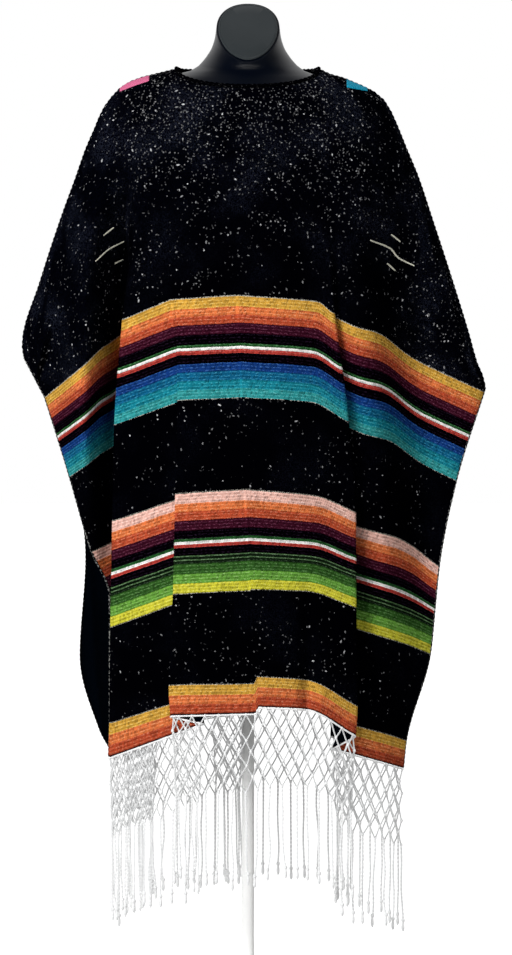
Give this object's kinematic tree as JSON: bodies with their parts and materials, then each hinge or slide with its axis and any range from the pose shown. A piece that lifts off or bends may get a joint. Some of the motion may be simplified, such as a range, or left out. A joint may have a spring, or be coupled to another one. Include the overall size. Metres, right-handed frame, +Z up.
{
  "type": "mexican serape poncho on a dress form",
  "caption": "Black serape poncho with bright striped bands and a long knotted fringe, worn by a headless display torso on a round stand.",
  "frame": {"origin": "centre of the stand base's underside, on the floor", "axes": "+Z up; the front of the poncho faces -Y; the wearer's left hand side is +X"},
  "size_m": [0.7387, 0.38, 1.5552],
  "materials": {
    "serape_cloth": "nubbly hand-woven wool, black with white slubs and bright weft stripes",
    "crochet_binding": "black crocheted cord edge",
    "cotton_fringe": "white cotton warp ends, knotted as a net and left as cords",
    "form_shell": "satin-gloss black shell",
    "form_cap": "dark grey satin plate",
    "stand_enamel": "white enamelled steel"
  },
  "bodies": {
    "root": {"front_panel": "serape_cloth", "back_panel": "serape_cloth", "neck_binding": "crochet_binding", "front_fringe": "cotton_fringe", "back_fringe": "cotton_fringe", "form_torso": "form_shell", "form_neck_cap": "form_cap", "stand_pole": "stand_enamel", "stand_base": "stand_enamel"}
  },
  "joints": []
}
